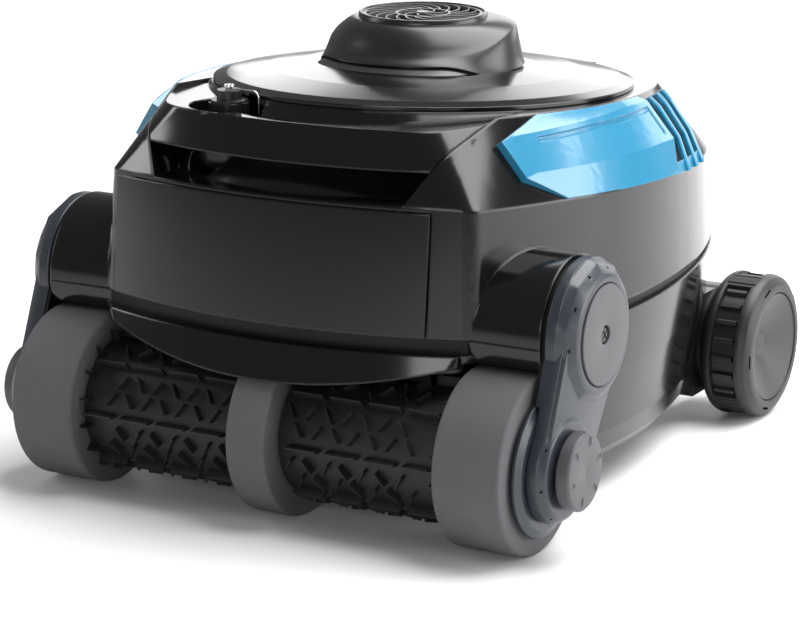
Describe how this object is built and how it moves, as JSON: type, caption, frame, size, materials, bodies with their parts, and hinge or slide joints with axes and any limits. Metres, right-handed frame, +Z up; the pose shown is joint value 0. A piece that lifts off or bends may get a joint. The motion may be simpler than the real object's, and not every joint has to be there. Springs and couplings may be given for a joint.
{
  "type": "robotic pool cleaner",
  "caption": "Robotic pool cleaner with a domed top-opening filter housing, water-jet outlet tower, driven foam and brush rollers on side arms, rear wheels and a carry handle.",
  "frame": {"origin": "centre of the bounding box on the floor plane, under the middle of the body", "axes": "+X to the right of the machine, +Y to its rear wheels, +Z up"},
  "size_m": [0.4336, 0.479, 0.312],
  "materials": {
    "gloss_black": "high gloss injection-moulded plastic",
    "matte_black": "fine spark-eroded matte",
    "grille_grey": "satin",
    "slate_plastic": "satin, fine texture",
    "cap_grey": "matte",
    "blue_plastic": "semi-gloss",
    "brush_rubber": "matte",
    "foam_grey": "closed-cell foam, matte",
    "tyre_black": "matte moulded rubber",
    "stainless": "polished stainless",
    "motor_metal": "zinc plated",
    "pulley_plastic": "natural acetal",
    "cell_wrap": "shrink sleeve",
    "circuit_green": "solder mask",
    "mesh_white": "fine woven mesh"
  },
  "bodies": {
    "hull": {"arm_backplates": "matte_black", "arm_housing_left": "slate_plastic", "arm_housing_right": "slate_plastic", "battery_pack": "cell_wrap", "carry_handle": "gloss_black", "control_board": "circuit_green", "drive_belts": "brush_rubber", "drive_motors": "motor_metal", "dry_box": "matte_black", "dry_box_lid": "matte_black", "dry_box_seals": "brush_rubber", "end_caps": "cap_grey", "filter_basket": "grille_grey", "filter_mesh": "mesh_white", "flap_pins": "stainless", "front_fascia": "gloss_black", "hub_caps": "cap_grey", "hub_screws": "stainless", "intake_throats": "matte_black", "lid_hinge_ears": "matte_black", "lid_hinge_pins": "stainless", "lower_chassis": "gloss_black", "lower_flanges": "slate_plastic", "port_tube": "matte_black", "pump_duct": "matte_black", "pump_motor": "motor_metal", "rear_axles": "stainless", "rear_brackets": "matte_black", "roller_bushes": "pulley_plastic", "seam_band": "matte_black", "side_panel_left": "blue_plastic", "side_panel_right": "blue_plastic", "upper_shell": "gloss_black", "vent_inserts": "matte_black"},
    "lid": {"lid_dome": "gloss_black", "lid_seal": "brush_rubber", "outlet_tower": "matte_black", "outlet_grille": "grille_grey"},
    "latch": {"latch_button": "matte_black"},
    "port_knob": {"port_cap": "matte_black", "port_bail": "stainless"},
    "roller_left": {"roller_core_left": "matte_black", "roller_pulley_left": "pulley_plastic", "brush_sleeve_left": "brush_rubber", "foam_ring_left": "foam_grey", "roller_spindle": "stainless"},
    "roller_right": {"roller_core_right": "matte_black", "roller_pulley_right": "pulley_plastic", "brush_sleeve_right": "brush_rubber", "foam_ring_right": "foam_grey"},
    "roller_centre": {"centre_foam_ring": "foam_grey"},
    "motor_shaft_left": {"motor_pulley_left": "pulley_plastic"},
    "motor_shaft_right": {"motor_pulley_right": "pulley_plastic"},
    "wheel_left": {"rear_tyre_left": "tyre_black", "rear_hub_left": "cap_grey"},
    "wheel_right": {"rear_tyre_right": "tyre_black", "rear_hub_right": "cap_grey"},
    "pump_rotor": {"impeller": "matte_black"},
    "flap_left": {"intake_flap_left": "matte_black"},
    "flap_right": {"intake_flap_right": "matte_black"}
  },
  "joints": [
    {"name": "lid_hinge", "type": "hinge", "parent": "hull", "child": "lid", "pos_m": [0, 0.17215, 0.25139], "axis": [-1, 0, 0], "range_deg": [0, 100]},
    {"name": "latch_press", "type": "slide", "parent": "hull", "child": "latch", "axis": [0, 1, 0], "range_m": [0, 0.003], "stiffness_N_per_m": 400},
    {"name": "port_cap_turn", "type": "hinge", "parent": "hull", "child": "port_knob", "pos_m": [-0.06, -0.158, 0.25], "axis": [0, 0, -1], "range_deg": [0, 90]},
    {"name": "left_roller_spin", "type": "hinge", "parent": "hull", "child": "roller_left", "pos_m": [0, -0.18, 0.0596], "axis": [1, 0, 0], "continuous": true},
    {"name": "right_roller_spin", "type": "hinge", "parent": "hull", "child": "roller_right", "pos_m": [0, -0.18, 0.0596], "axis": [1, 0, 0], "continuous": true},
    {"name": "centre_ring_spin", "type": "hinge", "parent": "hull", "child": "roller_centre", "pos_m": [0, -0.18, 0.0596], "axis": [1, 0, 0], "continuous": true},
    {"name": "left_motor_spin", "type": "hinge", "parent": "hull", "child": "motor_shaft_left", "pos_m": [-0.19, -0.1383, 0.1388], "axis": [1, 0, 0], "continuous": true},
    {"name": "right_motor_spin", "type": "hinge", "parent": "hull", "child": "motor_shaft_right", "pos_m": [0.19, -0.1383, 0.1388], "axis": [1, 0, 0], "continuous": true},
    {"name": "left_wheel_spin", "type": "hinge", "parent": "hull", "child": "wheel_left", "pos_m": [-0.17, 0.1864, 0.053], "axis": [1, 0, 0], "continuous": true},
    {"name": "right_wheel_spin", "type": "hinge", "parent": "hull", "child": "wheel_right", "pos_m": [0.17, 0.1864, 0.053], "axis": [1, 0, 0], "continuous": true},
    {"name": "pump_spin", "type": "hinge", "parent": "hull", "child": "pump_rotor", "pos_m": [0, 0, 0.23], "axis": [0, 0, 1], "continuous": true},
    {"name": "left_flap_hinge", "type": "hinge", "parent": "hull", "child": "flap_left", "pos_m": [-0.0785, -0.023, 0.042], "axis": [-1, 0, 0], "range_deg": [0, 75]},
    {"name": "right_flap_hinge", "type": "hinge", "parent": "hull", "child": "flap_right", "pos_m": [0.0785, -0.023, 0.042], "axis": [-1, 0, 0], "range_deg": [0, 75]}
  ],
  "couplings": [
    {"joint": "left_motor_spin", "follows": "left_roller_spin", "ratio": 1.5},
    {"joint": "right_motor_spin", "follows": "right_roller_spin", "ratio": 1.5}
  ]
}
